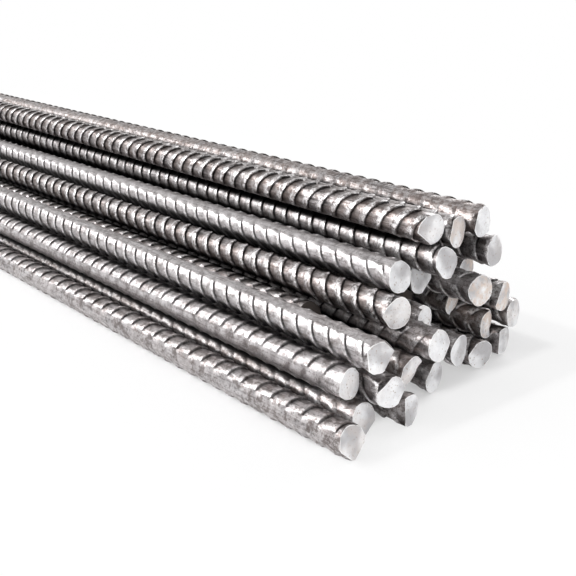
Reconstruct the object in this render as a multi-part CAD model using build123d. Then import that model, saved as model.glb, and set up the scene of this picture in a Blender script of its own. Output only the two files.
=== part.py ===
# A loose bundle of ribbed steel reinforcing bars, all cut to one length, lying on a level floor.
# Each bar is a plain round of its nominal size here, with both ends cropped by a shear. The ends
# keep what the blades do to them: a leaning face, edges pressed flat, and at times a stepped break.
# X runs along the bars, towards the ends that stand out unevenly. Y runs across the pile, Z is up.
# The origin is on the floor, under the middle of the pile. Sizes are in millimetres.

import os
from math import cos, hypot, radians, sin, sqrt, tan

from build123d import *

# Driving dimensions
bar_diameter = 16.0
bar_length = 1000.0
seat_clearance = 0.5
face_lean = 6.0
flat_slope = 32.0
step_height = 3.0
step_offset = 1.5

bar_radius = bar_diameter / 2
pitch = bar_diameter + seat_clearance

# How the blades leave an end: the direction that its face leans to, the edges pressed flat, as
# (direction, depth) each, and whether the face is broken in two with a step, the part towards the
# lean set back. Seen from the front, direction 0 is +Y and 90 is up.
crops = {
    "bar_01": (100, [(225, 1.8), (-40, 1.8)], False),
    "bar_02": (60, [(-50, 1.8)], False),
    "bar_03": (0, [(185, 5.0)], False),
    "bar_05": (0, [(140, 2.2), (-50, 1.4)], False),
    "bar_07": (180, [(145, 2.2)], False),
    "bar_08": (0, [(180, 4.4)], False),
    "bar_10": (200, [(135, 2.4), (-30, 1.6)], False),
    "bar_11": (-55, [(170, 1.0)], True),
    "bar_13": (0, [(-15, 1.6)], False),
    "bar_15": (5, [(170, 1.2)], True),
    "bar_16": (20, [(190, 1.8), (-30, 2.4)], False),
    "bar_17": (0, [(180, 0.8)], False),
    "bar_19": (60, [(100, 1.8), (-35, 1.8)], False),
    "bar_20": (35, [(170, 1.2)], True),
    "bar_21": (-35, [(165, 1.0)], True),
    "bar_23": (0, [(151, 3.6)], False),
    "bar_24": (160, [(180, 2.2), (-35, 3.0), (50, 2.2)], False),
    "bar_25": (180, [(210, 1.8)], False),
    "bar_27": (90, [(-45, 2.0), (180, 1.4)], False),
    "bar_28": (150, [(215, 1.0)], False),
    "bar_29": (0, [(190, 1.8), (-35, 2.2)], False),
    "bar_30": (90, [(0, 1.8), (90, 1.2)], False),
    "bar_31": (90, [(215, 1.6), (-35, 1.6)], False),
    "bar_33": (30, [(180, 1.6)], False),
    "bar_34": (0, [(165, 2.0), (-15, 1.8)], False),
    "bar_35": (20, [(160, 2.0)], False),
    "bar_36": (180, [(225, 3.0)], False),
}
common_crop = (90, [(150, 1.6)], False)

# The row on the floor, from left to right: name, the room between the bar and its left
# neighbour at the front and at the back, how far it stands out at the front
floor_row = [
    ("bar_01", 0.0, 0.0, 24),
    ("bar_02", 2.4, 0.7, 12),
    ("bar_03", 6.3, 7.3, 19),
    ("bar_04", 2.2, 3.3, -38),
    ("bar_05", 2.3, 3.2, 2),
    ("bar_06", 2.6, 3.5, -42),
    ("bar_07", 4.7, 5.7, -1),
    ("bar_08", 7.4, 9.6, -5),
    ("bar_09", 0.3, 0.5, -44),
]

# The bars laid on others, in the order in which they are laid: name, the bars on its left and
# right that it rests on, how far it stands out at the front, and how far its front end lies off
# its seat, across and up, as no bar is quite straight
seated_bars = [
    ("bar_10", "bar_02", "bar_03", 18, 0.2, -0.3),
    ("bar_11", "bar_03", "bar_04", 11, -0.1, -0.3),
    ("bar_12", "bar_04", "bar_05", -46, 0.0, -0.4),
    ("bar_13", "bar_05", "bar_06", 9, -0.1, -0.1),
    ("bar_14", "bar_06", "bar_07", -36, -0.1, -0.4),
    ("bar_15", "bar_07", "bar_08", -7, 0.3, 0.5),
    ("bar_16", "bar_08", "bar_09", -5, -0.5, 0.0),
    ("bar_17", "bar_02", "bar_10", 7, 0.6, 0.9),
    ("bar_18", "bar_10", "bar_11", -48, 0.4, 0.4),
    ("bar_19", "bar_11", "bar_12", 19, 0.0, -0.4),
    ("bar_20", "bar_12", "bar_13", -5, -0.1, -0.1),
    ("bar_21", "bar_14", "bar_15", -21, -0.2, -0.3),
    ("bar_22", "bar_13", "bar_14", -40, 0.0, -0.4),
    ("bar_23", "bar_15", "bar_16", -4, -0.4, 0.3),
    ("bar_24", "bar_17", "bar_18", 17, -0.2, -0.3),
    ("bar_25", "bar_18", "bar_19", 2, 0.5, 0.3),
    ("bar_28", "bar_22", "bar_21", 3, -0.1, 0.1),
    ("bar_27", "bar_22", "bar_28", -23, -0.3, -0.2),
    ("bar_26", "bar_20", "bar_27", -38, -0.4, 0.1),
    ("bar_29", "bar_21", "bar_23", -20, -0.2, 0.8),
    ("bar_30", "bar_25", "bar_26", -8, -0.1, 1.1),
    ("bar_32", "bar_27", "bar_28", -44, 0.1, -0.3),
    ("bar_31", "bar_26", "bar_27", -1, 0.0, -0.4),
    ("bar_33", "bar_32", "bar_29", 1, -0.2, 0.6),
    ("bar_34", "bar_31", "bar_32", -5, 0.7, 0.2),
    ("bar_35", "bar_34", "bar_33", -3, 0.2, 0.6),
    ("bar_36", "bar_31", "bar_34", -8, 0.1, 0.2),
]


def seat(left, right):
    """Centre of a bar that rests on the two bars with these centres."""
    across, up = right[0] - left[0], right[1] - left[1]
    gap = hypot(across, up)
    lift = sqrt(pitch**2 - (gap / 2) ** 2)
    return (
        (left[0] + right[0]) / 2 - up / gap * lift,
        (left[1] + right[1]) / 2 + across / gap * lift,
    )


def pile_centres(front):
    """Centres of every bar in one cross section: the front one, or else the back one."""
    centres = {}
    place = 0.0
    for name, front_room, back_room, _ in floor_row:
        if centres:
            place += bar_diameter + (front_room if front else back_room)
        centres[name] = (place, bar_radius)
    for name, left, right, _, across, up in seated_bars:
        y, z = seat(centres[left], centres[right])
        centres[name] = (y + across, z + up) if front else (y, z)
    return centres


def block_beyond(point, lean):
    """A block above a plane through point. The plane's normal leans lean degrees off the X axis."""
    side = 1 if point[0] > 0 else -1
    out = (side * cos(radians(lean)), 0, sin(radians(lean)))
    size = 4 * bar_diameter
    plane = Plane(point, x_dir=(0, 1, 0), z_dir=out)
    return plane.location * Pos(0, 0, size / 2) * Box(size, size, size)


def crop(bar, side, turn, lean_to, flats, stepped):
    """Shear one end of a bar that lies on the X axis. turn is added to all its directions."""
    end = side * bar_length / 2
    face_inset = bar_radius * tan(radians(face_lean))
    bar -= Rot(turn + lean_to - 90, 0, 0) * block_beyond((end - side * face_inset, 0, 0), face_lean)
    for direction, depth in flats:
        flat = block_beyond((end, 0, bar_radius - depth), 90 - flat_slope)
        bar -= Rot(turn + direction - 90, 0, 0) * flat
    if stepped:
        size = 2 * bar_diameter
        corner = Pos(end - side * (face_inset + step_height), 0, step_offset)
        beyond = corner * Pos(side * size / 2, 0, size / 2) * Box(size, size, size)
        bar -= Rot(turn + lean_to - 90, 0, 0) * beyond
    return bar


def cropped_bar(name):
    """A whole bar on the X axis. Its other end was cropped by the same blades, half a turn on."""
    bar = Rot(0, 90, 0) * Cylinder(bar_radius, bar_length)
    for side, turn in ((1, 0), (-1, 180)):
        bar = crop(bar, side, turn, *crops.get(name, common_crop))
    return bar


def lay(bar, front, back, stand_out):
    """Put a bar on the line between its front and back centres, slid forward by stand_out."""
    front_point = Vector(bar_length / 2, *front)
    back_point = Vector(-bar_length / 2, *back)
    along = (front_point - back_point).normalized()
    middle = (front_point + back_point) * 0.5 + along * stand_out
    return Plane(middle, x_dir=along, z_dir=Vector(0, 0, 1) - along * along.Z).location * bar


front_centres = pile_centres(True)
back_centres = pile_centres(False)

bars = {}
for name, _, _, stand_out, *_ in floor_row + seated_bars:
    bars[name] = lay(cropped_bar(name), front_centres[name], back_centres[name], stand_out)

bounds = Compound([bar.solid() for bar in bars.values()]).bounding_box()
to_origin = Location((-bounds.center().X, -bounds.center().Y, -bounds.min.Z))

os.makedirs("parts", exist_ok=True)
for name, bar in bars.items():
    export_step(to_origin * bar, f"parts/{name}.step")
print(len(bars), "bars, pile", [round(side, 1) for side in bounds.size])
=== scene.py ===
from math import cos, pi, radians, sin

import bmesh
import bpy
import numpy as np
from mathutils import Matrix, Vector, noise


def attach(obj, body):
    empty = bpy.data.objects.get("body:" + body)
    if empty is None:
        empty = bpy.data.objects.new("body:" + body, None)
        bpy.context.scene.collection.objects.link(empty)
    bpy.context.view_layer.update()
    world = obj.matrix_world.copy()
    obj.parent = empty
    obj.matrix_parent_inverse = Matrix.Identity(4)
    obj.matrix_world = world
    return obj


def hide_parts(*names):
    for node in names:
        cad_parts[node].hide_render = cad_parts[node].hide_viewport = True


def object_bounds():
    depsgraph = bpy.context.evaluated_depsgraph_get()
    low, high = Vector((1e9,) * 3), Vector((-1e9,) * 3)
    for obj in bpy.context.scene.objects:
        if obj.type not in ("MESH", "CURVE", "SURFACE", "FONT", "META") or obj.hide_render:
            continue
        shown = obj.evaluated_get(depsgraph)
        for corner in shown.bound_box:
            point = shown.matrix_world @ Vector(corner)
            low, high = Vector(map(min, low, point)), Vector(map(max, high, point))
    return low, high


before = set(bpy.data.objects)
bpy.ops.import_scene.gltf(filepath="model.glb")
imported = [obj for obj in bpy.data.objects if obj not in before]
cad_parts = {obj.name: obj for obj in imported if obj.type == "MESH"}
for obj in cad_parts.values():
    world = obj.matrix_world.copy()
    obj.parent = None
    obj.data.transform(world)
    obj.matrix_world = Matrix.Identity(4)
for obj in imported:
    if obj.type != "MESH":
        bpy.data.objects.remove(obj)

cad_low, cad_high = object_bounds()


# The steel of a bar. It leaves the rolling mill hot, so a thin grey-brown scale covers it, drawn out
# lengthwise and patchy. Handling wears the scale off the ribs first, and a little rust starts beside them.
# The crests and heads of the ribs also carry a painted highlight, and painted shade darkens the ribs' feet
# and the places where bars lie against each other.

def join(tree, source, target):
    """Link an output socket to an input socket."""
    tree.links.new(source, target)


def add_node(tree, kind, **values):
    """A node of this kind, with its inputs set by name where they hold a plain value."""
    node = tree.nodes.new(kind)
    for name, value in values.items():
        node.inputs[name.replace("_", " ")].default_value = value
    return node


def add_noise(tree, place, scale, detail, **values):
    """Noise at this scale, per metre, of the coordinates in place."""
    grain = add_node(tree, "ShaderNodeTexNoise", Scale=scale, Detail=detail, **values)
    join(tree, place, grain.inputs["Vector"])
    return grain.outputs["Fac"]


def add_ramp(tree, source, low, high, from_value=0.0, to_value=1.0):
    """source, spread so that low becomes from_value and high becomes to_value, smoothly."""
    ramp = tree.nodes.new("ShaderNodeMapRange")
    ramp.interpolation_type = "SMOOTHSTEP"
    limits = {"From Min": low, "From Max": high, "To Min": from_value, "To Max": to_value}
    for socket, value in limits.items():
        ramp.inputs[socket].default_value = value
    join(tree, source, ramp.inputs["Value"])
    return ramp.outputs["Result"]


def add_mix(tree, amount, first, second):
    """The colour first where amount is 0 and second where it is 1. Each is a socket or a plain colour."""
    mix = tree.nodes.new("ShaderNodeMix")
    mix.data_type = "RGBA"
    colours = [s for s in mix.inputs if s.type == "RGBA"]
    join(tree, amount, mix.inputs["Factor"])
    for socket, colour in zip(colours, (first, second)):
        if isinstance(colour, tuple):
            socket.default_value = (*colour, 1)
        else:
            join(tree, colour, socket)
    return next(s for s in mix.outputs if s.type == "RGBA")


def add_product(tree, first, second):
    """Two numbers multiplied. The second is a socket or a plain number."""
    product = tree.nodes.new("ShaderNodeMath")
    product.operation = "MULTIPLY"
    join(tree, first, product.inputs[0])
    if isinstance(second, float):
        product.inputs[1].default_value = second
    else:
        join(tree, second, product.inputs[1])
    return product.outputs[0]


def add_larger(tree, first, second):
    """The larger of two numbers, each a socket."""
    larger = tree.nodes.new("ShaderNodeMath")
    larger.operation = "MAXIMUM"
    join(tree, first, larger.inputs[0])
    join(tree, second, larger.inputs[1])
    return larger.outputs[0]


def add_attribute(tree, name):
    """A number that the bar's own mesh carries."""
    attribute = tree.nodes.new("ShaderNodeAttribute")
    attribute.attribute_name = name
    return attribute.outputs["Fac"]


def new_steel(name):
    """An empty steel material: its tree, its shader and its object coordinates."""
    material = bpy.data.materials.new(name)
    material.use_nodes = True
    tree = material.node_tree
    shader = next(n for n in tree.nodes if n.type == "BSDF_PRINCIPLED")
    place = tree.nodes.new("ShaderNodeTexCoord").outputs["Object"]
    return material, tree, shader, place


def drawn_out(tree, place, shortening):
    """The coordinates, squeezed along the bars so that a pattern in them is drawn out lengthwise."""
    mapping = tree.nodes.new("ShaderNodeMapping")
    mapping.inputs["Scale"].default_value = (shortening, 1, 1)
    join(tree, place, mapping.inputs["Vector"])
    return mapping.outputs["Vector"]


scale_dark = (0.070, 0.059, 0.059)
scale_grey = (0.450, 0.420, 0.418)
scale_brown = (0.205, 0.150, 0.128)
scale_pale = (0.570, 0.545, 0.550)
# pale worn steel, also painted on the crests and heads of the ribs as a highlight
worn_and_highlight = (0.880, 0.860, 0.865)
stain = (0.120, 0.094, 0.086)
# near black: the painted shade at the ribs' feet and where the bars touch
painted_shade_black = (0.006, 0.005, 0.005)


def rolled_steel():
    """The rolled skin: grey scale with brown patches and pits, ribs worn bright with a painted highlight,
    and painted shade at the ribs' feet and where the bars touch.
    """
    material, tree, shader, place = new_steel("rolled steel")
    lengthwise = drawn_out(tree, place, 0.05)
    streaks = add_noise(tree, lengthwise, 850, 4, Roughness=0.7)
    patches = add_noise(tree, place, 95, 5, Roughness=0.6)
    blotches = add_noise(tree, place, 430, 5, Roughness=0.68)
    grain = add_noise(tree, place, 900, 3)
    crest = add_attribute(tree, "crest")

    # the scale: dark in patches and streaks, brown where it rusts, and paler where it is rubbed
    scale = add_mix(tree, add_ramp(tree, streaks, 0.38, 0.58), scale_dark, scale_grey)
    scale = add_mix(tree, add_ramp(tree, patches, 0.40, 0.60, 0.60, 0.0), scale, scale_dark)
    brown_patches = add_noise(tree, place, 60, 4, Roughness=0.7)
    browning = add_product(tree, add_ramp(tree, brown_patches, 0.36, 0.56), add_attribute(tree, "brown"))
    browning = add_product(tree, browning, add_ramp(tree, crest, 0.3, 0.9, 1.0, 0.35))
    scale = add_mix(tree, browning, scale, scale_brown)
    rubbed = add_product(tree, add_ramp(tree, streaks, 0.34, 0.58, 0.4, 1.0), add_attribute(tree, "rubbed"))
    scale = add_mix(tree, rubbed, scale, scale_pale)
    # worn bright, with a painted highlight, towards the crests and heads of the ribs, in small blotches,
    # with dark pits and brown stains
    pits = add_ramp(tree, add_noise(tree, place, 1250, 2), 0.60, 0.70, 0.0, 0.8)
    wear_and_sheen = add_ramp(tree, blotches, 0.43, 0.56, 0.05, 1.0)
    worn_and_highlit = add_mix(tree, add_product(tree, wear_and_sheen, crest), scale, worn_and_highlight)
    worn_and_highlit = add_mix(tree, pits, worn_and_highlit, scale_dark)
    stains = add_ramp(tree, add_noise(tree, place, 210, 5, Roughness=0.72), 0.50, 0.58, 0.0, 0.68)
    stains = add_product(tree, stains, add_ramp(tree, add_attribute(tree, "brown"), 0.2, 0.6, 0.3, 1.0))
    worn_and_highlit = add_mix(tree, stains, worn_and_highlit, stain)
    # painted shade, near black, under the steep side of each rib, where its shadow falls, and where the
    # bars lie against each other; less of it on the bars rubbed palest
    gaps = add_ramp(tree, add_noise(tree, place, 210, 3), 0.34, 0.54, 0.45, 1.0)
    foot = add_product(tree, add_attribute(tree, "foot"), gaps)
    grime = add_ramp(tree, add_attribute(tree, "grime"), 0.16, 0.62, 0.0, 0.985)
    grime = add_product(tree, grime, add_ramp(tree, add_attribute(tree, "rubbed"), 0.7, 1.0, 1.0, 0.8))
    painted_shade = add_larger(tree, foot, grime)
    join(tree, add_mix(tree, painted_shade, worn_and_highlit, painted_shade_black), shader.inputs["Base Color"])
    join(tree, add_ramp(tree, blotches, 0.30, 0.70, 0.50, 0.28), shader.inputs["Roughness"])
    # rust takes the shine of bare metal away
    shine = add_ramp(tree, add_attribute(tree, "brown"), 0.5, 0.9, 0.94, 0.62)
    join(tree, shine, shader.inputs["Metallic"])

    bump = add_node(tree, "ShaderNodeBump", Strength=0.8, Distance=0.00028)
    join(tree, blotches, bump.inputs["Height"])
    fine = add_node(tree, "ShaderNodeBump", Strength=0.4, Distance=0.00007)
    join(tree, grain, fine.inputs["Height"])
    join(tree, bump.outputs["Normal"], fine.inputs["Normal"])
    join(tree, fine.outputs["Normal"], shader.inputs["Normal"])
    return material


face_pale = (0.86, 0.86, 0.87)
face_grey = (0.74, 0.74, 0.755)
face_dull = (0.420, 0.410, 0.420)
face_rim_highlight = (0.960, 0.950, 0.945)
face_tan = (0.66, 0.54, 0.46)
face_speck = (0.30, 0.20, 0.15)
face_shade_black = (0.060, 0.050, 0.045)


def sheared_steel():
    """Where the shear went through: bare, pale and matt, with a painted highlight along the rim, tan on
    some, and painted shade, near black, on the faces of ends that sit back in the pile.
    """
    material, tree, shader, place = new_steel("sheared steel")
    mottle = add_noise(tree, place, 170, 5, Roughness=0.65)
    face = add_mix(tree, add_ramp(tree, mottle, 0.35, 0.65), face_grey, face_pale)
    dulled = add_noise(tree, place, 45, 3)
    face = add_mix(tree, add_ramp(tree, dulled, 0.44, 0.60, 0.0, 0.9), face, face_dull)
    tanned = add_noise(tree, place, 110, 4, Roughness=0.7)
    tan = add_product(tree, add_ramp(tree, tanned, 0.40, 0.60), add_attribute(tree, "tan"))
    face = add_mix(tree, tan, face, face_tan)
    rust_specks = add_ramp(tree, add_noise(tree, place, 900, 2), 0.62, 0.72, 0.0, 0.7)
    face = add_mix(tree, rust_specks, face, face_speck)
    # a painted highlight along the rim of each face
    face = add_mix(tree, add_ramp(tree, add_attribute(tree, "burr"), 0.1, 0.9, 0.0, 0.85), face, face_rim_highlight)
    # painted shade, near black, on the faces of the ends that sit back in the pile
    shaded_face = add_mix(tree, add_attribute(tree, "dust"), face, face_shade_black)
    join(tree, shaded_face, shader.inputs["Base Color"])
    shader.inputs["Metallic"].default_value = 0.1
    join(tree, add_ramp(tree, mottle, 0.3, 0.7, 0.62, 0.48), shader.inputs["Roughness"])
    bump = add_node(tree, "ShaderNodeBump", Strength=0.8, Distance=0.0004)
    join(tree, add_noise(tree, place, 380, 4, Roughness=0.6), bump.inputs["Height"])
    join(tree, bump.outputs["Normal"], shader.inputs["Normal"])
    return material


bar_finishes = [rolled_steel(), sheared_steel()]


# The ribs of a bar. Two rows of slanted ribs run round it between two smooth bands, where the halves of
# the rolls met. The rolls press them in, so they repeat along the whole bar at one pitch.

core_radius = 0.0071
rib_height = 0.00108
rib_head = 6  # degrees over which a rib rises at each of its two heads
band_height = 0.00022
# the share of wear and painted highlight on the smooth bands
band_wear_and_sheen = 0.3
rib_pitch = 0.0109
# distance along the bar from a rib's middle, and there the shares of its height, of the wear and painted
# highlight that brighten it towards its crest, and of the painted shade at its foot, under the steep side.
# A rib rises slowly and drops steeply, as it left the roll.
rib_section = [
    (-0.0046, 0.0, 0.25, 0), (-0.0020, 0.62, 0.8, 0), (0.0, 1.0, 1.0, 0), (0.0012, 0.90, 0.9, 0),
    (0.0017, 0.0, 0.0, 1), (0.0027, 0.0, 0.0, 0.5),
]
# the roll patterns: how far a rib slides along the bar from band to band, on the first side and on the
# second, the half width of a band in degrees, how much shade is painted at the ribs' feet, and how bright a
# rib's wear and painted highlight are between its two heads
patterns = {
    "crossed": (0.0125, -0.0125, 13, 1.0, 1.0),
    "steep": (0.0160, -0.0160, 30, 0.3, 0.65),
    "back": (-0.0120, 0.0120, 12, 0.9, 1.0),
    "upright": (0.0060, -0.0060, 14, 1.0, 1.0),
    "broad": (0.0060, -0.0060, 42, 0.7, 0.2),
    "screw": (rib_pitch, rib_pitch, 13, 1.0, 1.0),
}
ribbed_strips = 7
spare_ribs = 8
unevenness = 0.00028


def rib_cell(pattern):
    """One pitch of the skin with that pattern, as an open strip round the bar."""
    first, second, half_band, foot_shading, bright = patterns[pattern]
    # degrees from the middle of a band, and there the shares of a rib's height, of its wear and painted
    # highlight, and of the band's height
    sweep = [(0, 0, 0, 1), (half_band, 0, 0, 0.9)]
    head = half_band + rib_head
    for k in range(ribbed_strips + 1):
        # a rib's two heads get the full painted highlight, where they would catch the light, besides their
        # wear
        height, polish_and_sheen = (0.9, 1) if k in (0, ribbed_strips) else (1, bright)
        sweep.append((head + k * (180 - 2 * head) / ribbed_strips, height, polish_and_sheen, 0))
    sweep.append((180 - half_band, 0, 0, 0.9))
    columns = []
    for side, slant in enumerate((first, second)):
        for angle, *shares in sweep:
            slide = slant * angle / 180 + (first if side else 0)
            columns.append((radians(angle + 180 * side), *shares, slide))
    columns.append((2 * pi, 0, 0, 1, first + second))
    first_row = rib_section[0]
    rows = rib_section + [(rib_pitch + first_row[0], *first_row[1:])]

    cell = bmesh.new()
    crest = cell.verts.layers.float.new("crest")
    foot = cell.verts.layers.float.new("foot")
    grid = []
    for place, share, wear_and_sheen, foot_shade_share in rows:
        ring = []
        for angle, rib_share, polish_and_sheen, band_share, slide in columns:
            radius = core_radius + rib_height * share * rib_share + band_height * band_share
            vert = cell.verts.new((place + slide, radius * cos(angle), radius * sin(angle)))
            vert[crest] = max(wear_and_sheen * polish_and_sheen, band_wear_and_sheen * band_share)
            vert[foot] = foot_shade_share * rib_share * foot_shading
            ring.append(vert)
        grid.append(ring)
    for near, far in zip(grid, grid[1:]):
        for k in range(len(columns) - 1):
            cell.faces.new((near[k], near[k + 1], far[k + 1], far[k])).smooth = True
    mesh = bpy.data.meshes.new("rib cell " + pattern)
    cell.to_mesh(mesh)
    cell.free()
    obj = bpy.data.objects.new(mesh.name, mesh)
    bpy.context.scene.collection.objects.link(obj)
    return obj


rib_cells = {pattern: rib_cell(pattern) for pattern in patterns}


def rib_repeater():
    """Geometry Nodes that set one rib cell after another along X and weld them into one skin."""
    tree = bpy.data.node_groups.new("rib repeater", "GeometryNodeTree")
    tree.is_modifier = True
    sockets = [
        ("Rib cell", "NodeSocketObject"), ("Rib count", "NodeSocketInt"), ("Rib pitch", "NodeSocketFloat"),
        ("Unevenness", "NodeSocketFloat"), ("Seed", "NodeSocketFloat"), ("Steel", "NodeSocketMaterial"),
    ]
    tree.interface.new_socket("Geometry", in_out="OUTPUT", socket_type="NodeSocketGeometry")
    for name, kind in sockets:
        tree.interface.new_socket(name, in_out="INPUT", socket_type=kind)
    given = tree.nodes.new("NodeGroupInput").outputs
    result = tree.nodes.new("NodeGroupOutput")

    step = tree.nodes.new("ShaderNodeCombineXYZ")
    join(tree, given["Rib pitch"], step.inputs["X"])
    line = tree.nodes.new("GeometryNodeMeshLine")
    join(tree, given["Rib count"], line.inputs["Count"])
    join(tree, step.outputs[0], line.inputs["Offset"])
    cell = tree.nodes.new("GeometryNodeObjectInfo")
    join(tree, given["Rib cell"], cell.inputs["Object"])
    placed = tree.nodes.new("GeometryNodeInstanceOnPoints")
    join(tree, line.outputs["Mesh"], placed.inputs["Points"])
    join(tree, cell.outputs["Geometry"], placed.inputs["Instance"])

    weld = add_node(tree, "GeometryNodeMergeByDistance", Distance=0.00002)
    realized = tree.nodes.new("GeometryNodeRealizeInstances")
    join(tree, placed.outputs["Instances"], realized.inputs["Geometry"])
    join(tree, realized.outputs["Geometry"], weld.inputs["Geometry"])

    # the rolls wear, so the skin swells and dips a little from place to place
    grain = add_node(tree, "ShaderNodeTexNoise", Scale=140.0, Detail=2.0)
    grain.noise_dimensions = "4D"
    join(tree, given["Seed"], grain.inputs["W"])
    middle = tree.nodes.new("ShaderNodeMath")
    middle.operation = "SUBTRACT"
    middle.inputs[1].default_value = 0.5
    join(tree, grain.outputs["Fac"], middle.inputs[0])
    swell = add_product(tree, middle.outputs[0], given["Unevenness"])
    outward = tree.nodes.new("ShaderNodeVectorMath")
    outward.operation = "SCALE"
    join(tree, tree.nodes.new("GeometryNodeInputNormal").outputs[0], outward.inputs[0])
    join(tree, swell, outward.inputs["Scale"])
    moved = tree.nodes.new("GeometryNodeSetPosition")
    join(tree, weld.outputs["Geometry"], moved.inputs["Geometry"])
    join(tree, outward.outputs[0], moved.inputs["Offset"])

    painted = tree.nodes.new("GeometryNodeSetMaterial")
    join(tree, moved.outputs["Geometry"], painted.inputs["Geometry"])
    join(tree, given["Steel"], painted.inputs["Material"])
    join(tree, painted.outputs["Geometry"], result.inputs["Geometry"])
    return tree


repeater = rib_repeater()


def ribbed_skin(pattern, length, seed):
    """An open ribbed tube along X, centred, and a few spare ribs longer than length."""
    host = bpy.data.objects.new("skin", bpy.data.meshes.new("skin"))
    bpy.context.scene.collection.objects.link(host)
    modifier = host.modifiers.new("ribs", "NODES")
    modifier.node_group = repeater
    count = int(length / rib_pitch) + spare_ribs
    inputs = {
        "Rib cell": rib_cells[pattern], "Rib count": count, "Rib pitch": rib_pitch,
        "Unevenness": unevenness, "Seed": float(seed), "Steel": bar_finishes[0],
    }
    for item in repeater.interface.items_tree:
        if item.item_type == "SOCKET" and item.in_out == "INPUT":
            modifier[item.identifier] = inputs[item.name]
    depsgraph = bpy.context.evaluated_depsgraph_get()
    mesh = bpy.data.meshes.new_from_object(host.evaluated_get(depsgraph), depsgraph=depsgraph)
    first, second = patterns[pattern][:2]
    middle = ((count - 1) * rib_pitch + first + second) / 2
    mesh.transform(Matrix.Translation((-middle, 0, 0)))
    bpy.data.objects.remove(host)
    return mesh


# The ends of a bar. A shear crops it cold: the blades press the ribs flat beside the cut, bend one rim
# over and leave a rough, leaning face. Where a bar lies and how it was cropped is read from its solid,
# whose long faces give its axis and whose other faces are the planes that the blades left.

long_face = 0.5


def axis_frame(points, triangles):
    """The matrix that puts a bar along X in its place, and the bar's length."""
    corners = points[triangles]
    crossed = np.cross(corners[:, 1] - corners[:, 0], corners[:, 2] - corners[:, 0])
    long_ones = np.ptp(corners[:, :, 0], axis=1) > long_face
    spread = crossed[long_ones].T @ crossed[long_ones]
    along = Vector(np.linalg.eigh(spread)[1][:, 0])
    if along.x < 0:
        along = -along
    up = (Vector((0, 0, 1)) - along * along.z).normalized()
    across = up.cross(along)
    ring = corners[long_ones].reshape(-1, 3)
    flat = np.stack([ring @ np.array(across), ring @ np.array(up)], axis=1)
    terms = np.c_[2 * flat, np.ones(len(flat))]
    y, z, _ = np.linalg.lstsq(terms, (flat**2).sum(1), rcond=None)[0]
    reach = points @ np.array(along)
    centre = across * y + up * z + along * (reach.min() + reach.max()) / 2
    matrix = Matrix((along, across, up)).transposed().to_4x4()
    matrix.translation = centre
    return matrix, float(np.ptp(reach))


def read_bar(node):
    """The corners and triangles of a CAD bar, the matrix that lays a bar in its place, and its length."""
    node.data.calc_loop_triangles()
    points = np.array([v.co for v in node.data.vertices])
    triangles = np.array([t.vertices[:] for t in node.data.loop_triangles])
    return points, triangles, *axis_frame(points, triangles)


cad_bars = {name: read_bar(node) for name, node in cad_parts.items()}

bar_radius = 0.008
# how far the painted shade between bars reaches from where they touch, over what length from each end it
# fades, and the least share of it left there
contact_shade_reach = 0.0062
open_end = 0.04
least_contact_shade = 0.2


def nearness(name, points):
    """The painted shade on the points of this bar: 1 where a point lies against another bar, where shadow
    falls, falling to 0 at the reach of that shade. Over the open end of the bar, where light gets in, it
    fades to a least share of that."""
    gap = np.full(len(points), contact_shade_reach)
    for other, (_, _, matrix, length) in cad_bars.items():
        if other == name:
            continue
        off = points - np.array(matrix.translation)
        along = np.array(matrix.col[0][:3])
        reach = off @ along
        apart = np.linalg.norm(off - np.outer(reach, along), axis=1) - bar_radius
        gap = np.where(np.abs(reach) < length / 2, np.minimum(gap, apart), gap)
    _, _, matrix, length = cad_bars[name]
    reach = (points - np.array(matrix.translation)) @ np.array(matrix.col[0][:3])
    inside = np.clip((length / 2 - np.abs(reach)) / open_end, least_contact_shade, 1)
    return inside * (1 - np.clip(gap, 0, contact_shade_reach) / contact_shade_reach)


# how far a plane's normal turns to the bar's axis, as a cosine: hardly on the wall of a step, more on an
# edge pressed flat, nearly all the way on the leaning face, and all the way on the step itself
wall_lean = 0.2
flat_lean = 0.8
face_lean = 0.9995
same_plane = 0.999
smallest_face = 1e-8
cut_grip = 1e-7
grid_grip = 1e-5
on_plane = 2e-6


def crop_planes(points, triangles, side):
    """The planes at one end of a bar that lies along X, by kind, as (normal, point) each."""
    ends = points[triangles]
    ends = ends[(ends[:, :, 0].min(axis=1) * side > 0) & (np.ptp(ends[:, :, 0], axis=1) < long_face)]
    crossed = np.cross(ends[:, 1] - ends[:, 0], ends[:, 2] - ends[:, 0])
    sizes = np.linalg.norm(crossed, axis=1)
    found = {"face": [], "step": [], "flat": [], "wall": []}
    for k in np.argsort(-sizes):
        if sizes[k] < smallest_face:
            break
        normal = crossed[k] / sizes[k]
        lean = normal[0] * side
        if lean < wall_lean:
            kind = "wall"
            normal[0] = 0
        elif lean < flat_lean:
            kind = "flat"
        elif lean < face_lean:
            kind = "face"
        else:
            kind = "step"
            normal = np.array((side, 0.0, 0.0))
        if kind == "wall" and abs(normal @ ends[k][0]) > core_radius / 2:
            continue
        if not any(normal @ known > same_plane for known, _ in found[kind]):
            found[kind].append((normal / np.linalg.norm(normal), ends[k][0]))
    return found


pressed_radius = 0.0078
pressed_unevenness = 0.0011
dents_per_metre = 130
pressed_lip = 0.001
pressed_reach = 0.007


def round_off(work, length, seed):
    """Press the ribs flat towards both ends, as the shear does: the skin turns round and full there."""
    for vert in work.verts:
        inside = length / 2 - abs(vert.co.x)
        share = min(1.0, max(0.0, 1 - (inside - pressed_lip) / pressed_reach))
        if not share:
            continue
        share = share * share * (3 - 2 * share)
        radius = Vector(vert.co.yz).length
        place = vert.co * dents_per_metre + Vector((seed * 3.7, seed * 5.1, 0))
        full = pressed_radius + pressed_unevenness * noise.noise(place)
        factor = 1 + share * (full / radius - 1)
        vert.co.y *= factor
        vert.co.z *= factor


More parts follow.
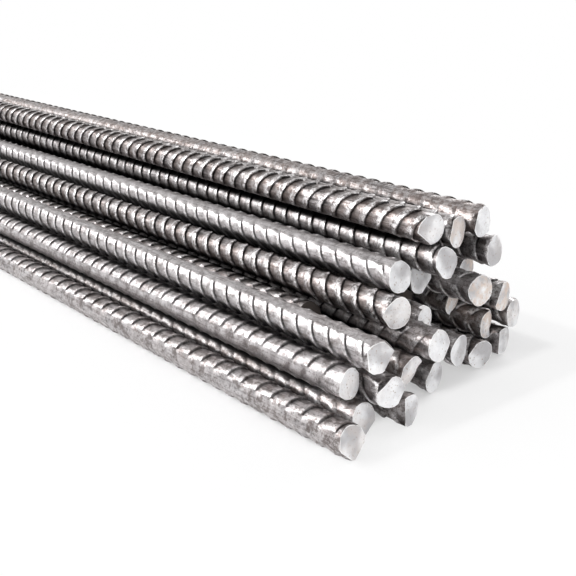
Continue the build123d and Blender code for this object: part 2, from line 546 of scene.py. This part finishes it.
def close_with(work, rim, finish):
    """One flat face of that finish, inside these edges."""
    for face in bmesh.ops.contextual_create(work, geom=rim)["faces"]:
        face.material_index = finish
        face.smooth = False


def cut(work, plane, finish):
    """Take off what lies beyond a plane and close the cut with one face of that finish."""
    normal, point = plane
    geometry = work.verts[:] + work.edges[:] + work.faces[:]
    made = bmesh.ops.bisect_plane(
        work, geom=geometry, plane_co=point, plane_no=normal, clear_outer=True, dist=cut_grip
    )
    edges = [e for e in made["geom_cut"] if isinstance(e, bmesh.types.BMEdge)]
    close_with(work, [e for e in edges if e.is_boundary], finish)


def with_edges(faces):
    """These faces and their points and edges, as one list."""
    return list({v for f in faces for v in f.verts} | {e for f in faces for e in f.edges} | set(faces))


def break_step(work, step, wall, side):
    """Take the block off an end whose face broke in two: what lies beyond both the step and the wall."""
    step_at = step[1][0]
    wall_normal, wall_point = Vector(wall[0]), Vector(wall[1])
    geometry = work.verts[:] + work.edges[:] + work.faces[:]
    bmesh.ops.bisect_plane(work, geom=geometry, plane_co=step[1], plane_no=step[0], dist=cut_grip)
    beyond = [f for f in work.faces if f.calc_center_median().x * side > step_at * side]
    made = bmesh.ops.bisect_plane(
        work, geom=with_edges(beyond), plane_co=wall_point, plane_no=wall_normal, dist=cut_grip
    )
    gone = [
        f for f in made["geom"]
        if isinstance(f, bmesh.types.BMFace) and (f.calc_center_median() - wall_point).dot(wall_normal) > 0
    ]
    bmesh.ops.delete(work, geom=gone, context="FACES")
    rim = [e for e in work.edges if e.is_boundary]
    step_rim = [e for e in rim if all(abs(v.co.x - step_at) < on_plane for v in e.verts)]
    wall_rim = [e for e in rim if e not in step_rim]
    corners = {v for e in step_rim for v in e.verts} & {v for e in wall_rim for v in e.verts}
    chord = work.edges.new(list(corners))
    close_with(work, step_rim + [chord], 1)
    close_with(work, wall_rim + [chord], 1)


rolled_reach = 0.006
rolled_length = 0.004
rolled_start = 0.0005
rolled_curve = 20


def roll_over(work, end, side, normal):
    """Bend the end back on the side that the blade came in from: the side that its face leans to."""
    lean = Vector((0, normal[1], normal[2])).normalized()
    for vert in work.verts:
        depth = end - vert.co.x * side
        if depth > rolled_reach:
            continue
        share = min(1.0, (rolled_reach - depth) / rolled_length)
        vert.co.x -= side * share * rolled_curve * max(0.0, vert.co.dot(lean) + rolled_start) ** 2


rim_width = 0.0006
rim_depth = 0.0002
grid_step = 0.0016
grid_shift = 0.0003
grid_lines = 5
face_relief = 0.00045
lumps_per_metre = 240


def roughen_faces(work, seed):
    """Dome the sheared faces at their rims, divide them finely and move the new points in and out."""
    burr = work.verts.layers.float.new("burr")
    faces = [f for f in work.faces if f.material_index == 1]
    for face in faces:
        bmesh.ops.inset_individual(work, faces=[face], thickness=rim_width, depth=rim_depth)
    parts = with_edges([f for f in work.faces if f.material_index == 1])
    for across in (Vector((0, 1, 0)), Vector((0, 0, 1))):
        for k in range(-grid_lines, grid_lines + 1):
            place = across * (k * grid_step + grid_shift)
            made = bmesh.ops.bisect_plane(
                work, geom=parts, plane_co=place, plane_no=across, dist=grid_grip
            )
            parts = made["geom"]
    points = [v for v in parts if isinstance(v, bmesh.types.BMVert)]
    for vert in points:
        # the points on a face's rim carry its painted highlight, and the points inside are moved in and out
        if any(f.material_index == 0 for f in vert.link_faces):
            vert[burr] = 1
        else:
            place = vert.co * lumps_per_metre + Vector((seed * 7.3, 0, 0))
            vert.co.x += face_relief * noise.noise(place)


sharp_edge = 0.72


def build_bar(name, pattern, roll, slide, brown, rubbed, tan, dust=0.0):
    """The ribbed bar that stands for a CAD bar. roll turns its seams by degrees, and slide moves its ribs
    by that share of a pitch. brown and rubbed are how far its scale has rusted and worn pale, tan is how
    far its faces have browned, and the last argument is how much painted shade, near black, darkens its
    faces where they sit back in the pile."""
    points, triangles, matrix, length = cad_bars[name]
    seed = int(name[-2:])
    mesh = ribbed_skin(pattern, length, seed)
    mesh.transform(Matrix.Translation((slide * rib_pitch, 0, 0)) @ Matrix.Rotation(radians(roll), 4, "X"))

    work = bmesh.new()
    work.from_mesh(mesh)
    for face in work.faces:
        face.material_index = 0
    inverse = np.array(matrix.inverted())
    laid = points @ inverse[:3, :3].T + inverse[:3, 3]
    round_off(work, length, seed)
    leans = {}
    for side in (1, -1):
        planes = crop_planes(laid, triangles, side)
        leans[side] = planes["face"][0][0]
        cut(work, planes["face"][0], 1)
        for plane in planes["flat"]:
            cut(work, plane, 0)
        if planes["step"]:
            break_step(work, planes["step"][0], planes["wall"][0], side)
    roughen_faces(work, seed)
    for side, normal in leans.items():
        roll_over(work, length / 2, side, normal)
    for face in work.faces:
        face.smooth = True
    bmesh.ops.recalc_face_normals(work, faces=work.faces[:])
    if work.calc_volume(signed=True) < 0:
        bmesh.ops.reverse_faces(work, faces=work.faces[:])
    for edge in work.edges:
        near, *far = edge.link_faces
        edge.smooth = not far or near.normal.dot(far[0].normal) > sharp_edge
    for look, amount in {"brown": brown, "tan": tan, "dust": dust, "rubbed": rubbed}.items():
        layer = work.verts.layers.float.new(look)
        for vert in work.verts:
            vert[layer] = amount
    mesh.clear_geometry()
    mesh.materials.clear()
    for finish in bar_finishes:
        mesh.materials.append(finish)
    work.to_mesh(mesh)
    work.free()
    mesh.transform(matrix)
    places = np.array([v.co for v in mesh.vertices])
    # painted shade between the bars, darkest where they touch
    grime = mesh.attributes.new("grime", "FLOAT", "POINT")
    grime.data.foreach_set("value", nearness(name, places).astype("float32"))
    bar = bpy.data.objects.new("ribbed_" + name, mesh)
    bpy.context.scene.collection.objects.link(bar)
    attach(bar, "root")
    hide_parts(name)


# The bars on the floor. Each is a length of hot-rolled ribbed steel, sheared at both ends, that lies on the
# floor with nothing to hold it. A row is: name, roll pattern, roll, slide, brown, rubbed, tan, end shade.
# The end shade, painted near black on the faces of ends that sit back in the pile's shade, is left out
# elsewhere.

for row in [
    ("bar_01", "broad", 186, 0.1, 0.6, 0.6, 0.2),
    ("bar_02", "steep", 120, 0.4, 0.75, 0.4, 0.2),
    ("bar_03", "crossed", 20, 0.7, 0.7, 0.6, 0.0),
    ("bar_04", "crossed", 75, 0.2, 0.6, 0.2, 0.0, 1.0),
    ("bar_05", "steep", 300, 0.9, 0.7, 0.45, 0.0),
    ("bar_06", "crossed", 140, 0.3, 0.5, 0.2, 0.0, 1.0),
    ("bar_07", "screw", 10, 0.6, 0.7, 0.5, 0.0),
    ("bar_08", "crossed", 250, 0.8, 0.4, 0.5, 0.1),
    ("bar_09", "upright", 60, 0.5, 0.5, 0.2, 0.0, 1.0),
]:
    build_bar(*row)


# The bars in the hollows of the floor row, and those that lean on them. They are the same steel, and only
# their weight keeps them there. The rustier ones, with tan faces, lie on the far side.

for row in [
    ("bar_10", "crossed", 120, 0.3, 0.5, 0.5, 0.1),
    ("bar_11", "steep", 30, 0.5, 0.9, 0.3, 0.3),
    ("bar_12", "crossed", 210, 0.1, 0.6, 0.2, 0.0, 1.0),
    ("bar_13", "crossed", 90, 0.7, 0.75, 0.6, 0.0),
    ("bar_14", "upright", 330, 0.2, 0.5, 0.2, 0.0, 1.0),
    ("bar_15", "crossed", 160, 0.9, 0.9, 0.15, 0.8),
    ("bar_16", "crossed", 45, 0.4, 0.75, 0.5, 0.2),
    ("bar_17", "broad", 200, 0.6, 0.45, 0.9, 0.2),
    ("bar_18", "crossed", 135, 0.8, 0.6, 0.2, 0.0, 1.0),
    ("bar_19", "steep", 270, 0.2, 0.5, 0.5, 0.1),
    ("bar_20", "crossed", 65, 0.5, 0.8, 0.3, 0.2),
    ("bar_21", "crossed", 190, 0.3, 0.9, 0.3, 0.8),
    ("bar_22", "upright", 100, 0.6, 0.5, 0.2, 0.0, 1.0),
    ("bar_23", "crossed", 240, 0.1, 0.6, 0.4, 0.9),
]:
    build_bar(*row)


# The upper bars, laid lengthwise on the others up to the crest of the pile. They are the same steel, and
# handling has rubbed two of them pale along their whole length.

for row in [
    ("bar_24", "steep", 90, 0.7, 0.4, 0.9, 0.1),
    ("bar_25", "crossed", 62, 0.2, 0.5, 0.1, 0.2),
    ("bar_26", "steep", 20, 0.9, 0.6, 0.2, 0.0, 1.0),
    ("bar_27", "crossed", 70, 0.4, 0.4, 0.5, 0.0),
    ("bar_28", "crossed", 150, 0.6, 0.85, 0.6, 0.8),
    ("bar_29", "upright", 330, 0.3, 0.8, 0.5, 0.8),
    ("bar_30", "steep", 104, 0.8, 0.3, 1.0, 0.0),
    ("bar_31", "upright", 66, 0.1, 0.5, 0.6, 0.0),
    ("bar_32", "crossed", 220, 0.5, 0.6, 0.2, 0.0, 1.0),
    ("bar_33", "upright", 55, 0.7, 0.5, 0.7, 0.1),
    ("bar_34", "crossed", 62, 0.2, 0.6, 0.4, 0.5),
    ("bar_35", "broad", 128, 0.4, 0.6, 0.1, 0.0),
    ("bar_36", "back", 62, 0.0, 0.5, 0.0, 0.1),
]:
    build_bar(*row)

# the single rib cells have served
for cell in rib_cells.values():
    bpy.data.objects.remove(cell)


# The floor: a plain pale sheet just under the bars. It keeps their shadow, darkest close to the pile, and
# turns white away from it.

floor_level = cad_low.z - 0.0004
half_floor = 4.0
corners = [(-1, -1), (1, -1), (1, 1), (-1, 1)]
floor_mesh = bpy.data.meshes.new("floor")
floor_points = [(half_floor * x, half_floor * y, floor_level) for x, y in corners]
floor_mesh.from_pydata(floor_points, [], [(0, 1, 2, 3)])
floor = bpy.data.objects.new("floor", floor_mesh)
bpy.context.scene.collection.objects.link(floor)

paper = bpy.data.materials.new("pale floor")
paper.use_nodes = True
floor_mesh.materials.append(paper)
sheet = paper.node_tree
matt = next(n for n in sheet.nodes if n.type == "BSDF_PRINCIPLED")
matt.inputs["Base Color"].default_value = (0.93, 0.93, 0.935, 1)
matt.inputs["Roughness"].default_value = 0.9
matt.inputs["Specular IOR Level"].default_value = 0.1
lit = add_node(sheet, "ShaderNodeEmission", Color=(1, 1, 1, 1), Strength=1.0)
seen = sheet.nodes.new("ShaderNodeLightPath")

# how far a place on the floor is from the pile's outline, which is drawn in where its ends fan out
fanned_ends = 0.025
any_height = 10
outline = (cad_high.x - fanned_ends, cad_high.y, any_height)
away = sheet.nodes.new("ShaderNodeTexCoord").outputs["Object"]
steps = [("ABSOLUTE", None), ("SUBTRACT", outline), ("MAXIMUM", (0, 0, 0)), ("LENGTH", None)]
for operation, value in steps:
    measure = sheet.nodes.new("ShaderNodeVectorMath")
    measure.operation = operation
    if value:
        measure.inputs[1].default_value = value
    join(sheet, away, measure.inputs[0])
    away = measure.outputs["Value" if operation == "LENGTH" else "Vector"]

contact = add_ramp(sheet, away, 0.0, 0.010, 0.42, 0.72)
close_by = add_ramp(sheet, away, 0.010, 0.040, 0.0, 0.93)
far_off = add_ramp(sheet, away, 0.05, 0.3)
white = add_larger(sheet, add_larger(sheet, contact, close_by), far_off)
share = add_product(sheet, white, seen.outputs["Is Camera Ray"])
blend = sheet.nodes.new("ShaderNodeMixShader")
surface = next(n for n in sheet.nodes if n.type == "OUTPUT_MATERIAL").inputs["Surface"]
join(sheet, share, blend.inputs[0])
join(sheet, matt.outputs[0], blend.inputs[1])
join(sheet, lit.outputs[0], blend.inputs[2])
join(sheet, blend.outputs[0], surface)


# The light: a wide soft box on the near side, a smaller one behind and one towards the ends, and a plain
# pale room round them. The room is white to the eye. The steel mirrors it bright on the side away from the
# eye and dim on the other, as steel does in a studio with dark cards.

def soft_box(name, place, aim, width, height, power):
    """A rectangular lamp at place, turned to shine at aim."""
    light = bpy.data.lights.new(name, "AREA")
    light.shape = "RECTANGLE"
    light.size, light.size_y = width, height
    light.energy = power
    obj = bpy.data.objects.new(name, light)
    bpy.context.scene.collection.objects.link(obj)
    obj.location = place
    obj.rotation_euler = (Vector(aim) - Vector(place)).to_track_quat("-Z", "Y").to_euler()
    return obj


soft_box("key", (-0.9, -1.35, 1.15), (0.15, 0, 0.05), 2.4, 0.7, 50)
soft_box("back", (-0.2, 1.7, 1.0), (0, 0, 0.05), 1.8, 0.6, 14)
soft_box("ends", (1.9, -0.5, 0.5), (0.4, 0, 0.05), 0.9, 0.8, 13).visible_glossy = False


def add_choice(tree, amount, first, second):
    """The number first where amount is 0 and second where it is 1. Each is a socket or a plain number."""
    mix = tree.nodes.new("ShaderNodeMix")
    join(tree, amount, mix.inputs["Factor"])
    for socket, value in zip((mix.inputs["A"], mix.inputs["B"]), (first, second)):
        if isinstance(value, float):
            socket.default_value = value
        else:
            join(tree, value, socket)
    return mix.outputs["Result"]


front_side = (0.86, -0.30, 0.40)
world = bpy.data.worlds.new("room")
bpy.context.scene.world = world
world.use_nodes = True
room = world.node_tree
background = next(n for n in room.nodes if n.type == "BACKGROUND")
path = room.nodes.new("ShaderNodeLightPath").outputs
towards_eye = room.nodes.new("ShaderNodeVectorMath")
towards_eye.operation = "DOT_PRODUCT"
towards_eye.inputs[1].default_value = front_side
join(room, room.nodes.new("ShaderNodeTexCoord").outputs["Generated"], towards_eye.inputs[0])
in_steel = add_ramp(room, towards_eye.outputs["Value"], -0.35, 0.45, 0.84, 0.15)
strength = add_choice(room, path["Is Glossy Ray"], 0.45, in_steel)
strength = add_choice(room, path["Is Transmission Ray"], strength, 1.0)
strength = add_choice(room, path["Is Camera Ray"], strength, 1.0)
join(room, strength, background.inputs["Strength"])
background.inputs["Color"].default_value = (1, 1, 1, 1)


# The camera stands off the front ends, a little to the left, and looks back along the pile from just
# above it, so that the far ends run out of the picture.

eye_elevation = 19.132
eye_azimuth = 49.711
eye = bpy.data.cameras.new("eye")
eye.sensor_width = 36
eye.lens = 58.41
eye.clip_start, eye.clip_end = 0.01, 50
camera = bpy.data.objects.new("eye", eye)
bpy.context.scene.collection.objects.link(camera)
camera.location = (0.78617, -0.32978, 0.19955)
camera.rotation_euler = (radians(90 - eye_elevation), 0, radians(eye_azimuth))
bpy.context.scene.camera = camera
bpy.context.scene.view_settings.view_transform = "Standard"
